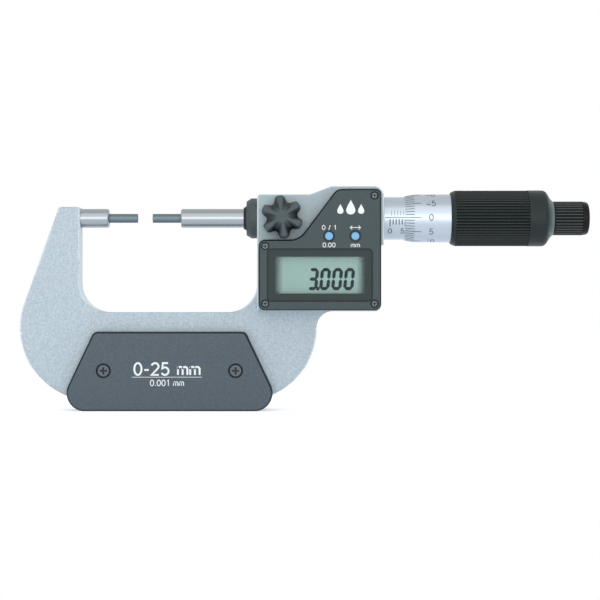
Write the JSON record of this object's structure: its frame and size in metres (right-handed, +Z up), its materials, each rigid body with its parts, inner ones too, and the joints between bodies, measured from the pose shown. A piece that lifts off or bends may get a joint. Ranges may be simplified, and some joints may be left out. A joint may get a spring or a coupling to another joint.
{
  "type": "outside micrometer",
  "caption": "Digital outside micrometer: deep U frame with grip plates, reduced round tips, star-knob spindle lock, display housing with two buttons, graduated thimble and ratchet stop.",
  "frame": {"origin": "centre of the anvil's measuring face", "axes": "+X along the measuring line, from the anvil towards the thimble; +Z up, from the U frame's bow towards the measuring line; -Y the front, with the display, +Y the back, with the battery cap"},
  "size_m": [0.1894, 0.0256, 0.0744],
  "materials": {
    "painted_frame": "fine-textured grey-blue paint, semi-matt",
    "ground_steel": "ground and lapped steel",
    "carbide": "dark ground carbide",
    "satin_chrome": "satin chrome",
    "black_steel": "blackened steel",
    "bronze": "turned bronze",
    "plate_plastic": "fine-grained slate plastic",
    "black_plastic": "matt black plastic",
    "knob_plastic": "matt dark grey plastic",
    "housing_plastic": "fine-grained dark grey plastic",
    "grip_rubber": "black, satin",
    "seal_rubber": "black rubber",
    "clear_window": "clear polished",
    "lcd_glass": "reflective display glass",
    "white_plastic": "white insulating plastic",
    "board_laminate": "green circuit laminate",
    "encoder_glassfibre": "glass-fibre laminate with copper tracks",
    "ribbon_film": "amber film",
    "blue_button": "light blue, moulded",
    "cell_steel": "nickel-plated cell",
    "engraving_ink": "dark ink in engraved lines",
    "white_print": "white printed marks",
    "display_segment": "dark display segments"
  },
  "bodies": {
    "frame": {"frame": "painted_frame", "anvil": "ground_steel", "anvil_tip": "carbide", "front_grip_plate": "plate_plastic", "back_grip_plate": "plate_plastic", "front_plate_screws": "black_steel", "back_plate_screws": "black_steel", "spindle_guide_bush": "bronze", "seal_collar": "black_plastic", "wiper_seal": "seal_rubber", "thrust_ring": "bronze", "encoder_stator": "encoder_glassfibre", "ribbon_cable": "ribbon_film", "barrel": "ground_steel", "adjusting_nut": "bronze", "display_housing": "housing_plastic", "housing_gasket": "seal_rubber", "housing_screws": "black_steel", "display_window": "clear_window", "display_mask": "black_plastic", "lcd_panel": "lcd_glass", "lcd_holder": "white_plastic", "zebra_strips": "seal_rubber", "circuit_board": "board_laminate", "board_chips": "black_plastic", "tact_switches": "ground_steel", "button_rings": "black_plastic", "battery": "cell_steel", "battery_cup": "white_plastic", "battery_contact": "bronze"},
    "sleeve": {"sleeve": "satin_chrome"},
    "encoder_rotor": {"encoder_rotor": "encoder_glassfibre", "rotor_key": "ground_steel"},
    "spindle": {"spindle": "ground_steel", "spindle_tip": "carbide", "thimble": "satin_chrome", "thimble_grip": "grip_rubber", "ratchet_disc": "ground_steel", "ratchet_screw": "black_steel"},
    "ratchet": {"ratchet_knob": "grip_rubber", "pawl_disc": "ground_steel", "ratchet_springs": "ground_steel"},
    "clamp_shoe": {"clamp_shoe": "bronze"},
    "lock_knob": {"lock_knob": "knob_plastic", "lock_screw": "ground_steel"},
    "power_button": {"power_button": "blue_button"},
    "mode_button": {"mode_button": "blue_button"},
    "cap_seal": {"cap_seal": "seal_rubber"},
    "battery_cap": {"battery_cap": "black_plastic"}
  },
  "joints": [
    {"name": "thimble_turn", "type": "hinge", "parent": "frame", "child": "encoder_rotor", "pos_m": [0.07, 0, 0], "axis": [1, 0, 0], "range_deg": [-3598, 14400.1]},
    {"name": "spindle_feed", "type": "slide", "parent": "encoder_rotor", "child": "spindle", "axis": [1, 0, 0], "range_m": [-0.005, 0.02]},
    {"name": "ratchet_turn", "type": "hinge", "parent": "spindle", "child": "ratchet", "pos_m": [0.145, 0, 0], "axis": [1, 0, 0], "continuous": true},
    {"name": "clamp_slide", "type": "slide", "parent": "frame", "child": "clamp_shoe", "axis": [0, 1, 0], "range_m": [-0.00035, 0.000115]},
    {"name": "lock_turn", "type": "hinge", "parent": "clamp_shoe", "child": "lock_knob", "pos_m": [0.0483, 0, 0], "axis": [0, 1, 0], "range_deg": [-180.1, 60]},
    {"name": "sleeve_adjust", "type": "hinge", "parent": "frame", "child": "sleeve", "pos_m": [0.09, 0, 0], "axis": [1, 0, 0], "range_deg": [-15, 15]},
    {"name": "power_press", "type": "slide", "parent": "frame", "child": "power_button", "axis": [0, 1, 0], "range_m": [0, 0.0005], "stiffness_N_per_m": 400, "springref_m": -0.0005},
    {"name": "mode_press", "type": "slide", "parent": "frame", "child": "mode_button", "axis": [0, 1, 0], "range_m": [0, 0.0005], "stiffness_N_per_m": 400, "springref_m": -0.0005},
    {"name": "cap_lift", "type": "slide", "parent": "frame", "child": "cap_seal", "axis": [0, 1, 0], "range_m": [0, 0.00187]},
    {"name": "cap_turn", "type": "hinge", "parent": "cap_seal", "child": "battery_cap", "pos_m": [0.061, 0, -0.02], "axis": [0, 1, 0], "range_deg": [0, 900.1]}
  ],
  "couplings": [
    {"joint": "thimble_turn", "follows": "spindle_feed", "rad_per_m": 12566},
    {"joint": "lock_turn", "follows": "clamp_slide", "rad_per_m": 8976},
    {"joint": "cap_turn", "follows": "cap_lift", "rad_per_m": 8377.6}
  ]
}
